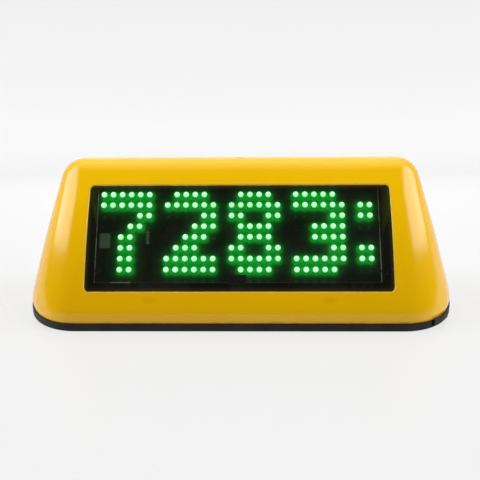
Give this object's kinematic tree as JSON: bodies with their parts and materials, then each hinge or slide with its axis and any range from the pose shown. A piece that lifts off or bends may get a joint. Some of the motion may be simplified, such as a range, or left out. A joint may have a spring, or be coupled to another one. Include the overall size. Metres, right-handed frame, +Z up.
{
  "type": "taxi roof sign",
  "caption": "Magnet-mounted taxi roof sign: glossy yellow wedge housing with bowed ends, dark windows front and rear over LED matrix boards, black base and edge trim.",
  "frame": {"origin": "middle of the footprint on the plane of the magnet faces, which is the car roof", "axes": "+Z up from the roof, +X along the length of the sign, front window faces -Y"},
  "size_m": [0.3812, 0.164, 0.1325],
  "materials": {
    "yellow_gloss": "glossy yellow moulding",
    "smoked_lens": "smoked clear plastic",
    "black_foam": "black foam tape",
    "led_board": "dark solder mask",
    "led_green": "diffused green, lit",
    "chip_black": "moulded epoxy",
    "connector_ivory": "ivory nylon",
    "bracket_steel": "zinc-plated sheet",
    "spacer_nylon": "nylon",
    "zinc_screw": "zinc plated",
    "black_screw": "black zinc",
    "base_black": "textured black moulding",
    "trim_rubber": "black rubber",
    "pad_rubber": "black rubber",
    "cup_steel": "plated steel",
    "ferrite": "sintered ferrite",
    "green_board": "green solder mask",
    "heat_sink_alu": "extruded, anodised",
    "capacitor_sleeve": "printed-free sleeve",
    "holder_black": "black nylon",
    "fuse_amber": "translucent amber",
    "lead_grey": "flat flexible lead"
  },
  "bodies": {
    "base": {"front_led_board": "led_board", "rear_led_board": "led_board", "front_leds": "led_green", "rear_leds": "led_green", "front_driver_chip": "chip_black", "rear_driver_chip": "chip_black", "front_resistor_array": "chip_black", "rear_resistor_array": "chip_black", "front_board_socket": "holder_black", "rear_board_socket": "holder_black", "left_board_bracket": "bracket_steel", "right_board_bracket": "bracket_steel", "board_spacers": "spacer_nylon", "board_screws": "zinc_screw", "bracket_screws": "zinc_screw", "base_plate": "base_black", "edge_seal": "trim_rubber", "magnet_pads": "pad_rubber", "magnet_cups": "cup_steel", "magnet_rings": "ferrite", "magnet_screws": "zinc_screw", "magnet_washers": "zinc_screw", "magnet_nuts": "zinc_screw", "housing_screws": "black_screw", "controller_board": "green_board", "controller_screws": "zinc_screw", "controller_chip": "chip_black", "voltage_regulator": "chip_black", "regulator_heat_sink": "heat_sink_alu", "filter_capacitor": "capacitor_sleeve", "fuse_holder": "holder_black", "blade_fuse": "fuse_amber", "power_jack": "holder_black", "board_headers": "connector_ivory", "cable_plugs": "connector_ivory", "front_board_cable": "lead_grey", "rear_board_cable": "lead_grey"},
    "cover": {"housing_shell": "yellow_gloss", "front_lens": "smoked_lens", "rear_lens": "smoked_lens", "front_lens_gasket": "black_foam", "rear_lens_gasket": "black_foam"}
  },
  "joints": [
    {"name": "cover_lift", "type": "slide", "parent": "base", "child": "cover", "axis": [0, 0, 1], "range_m": [0, 0.115]}
  ]
}
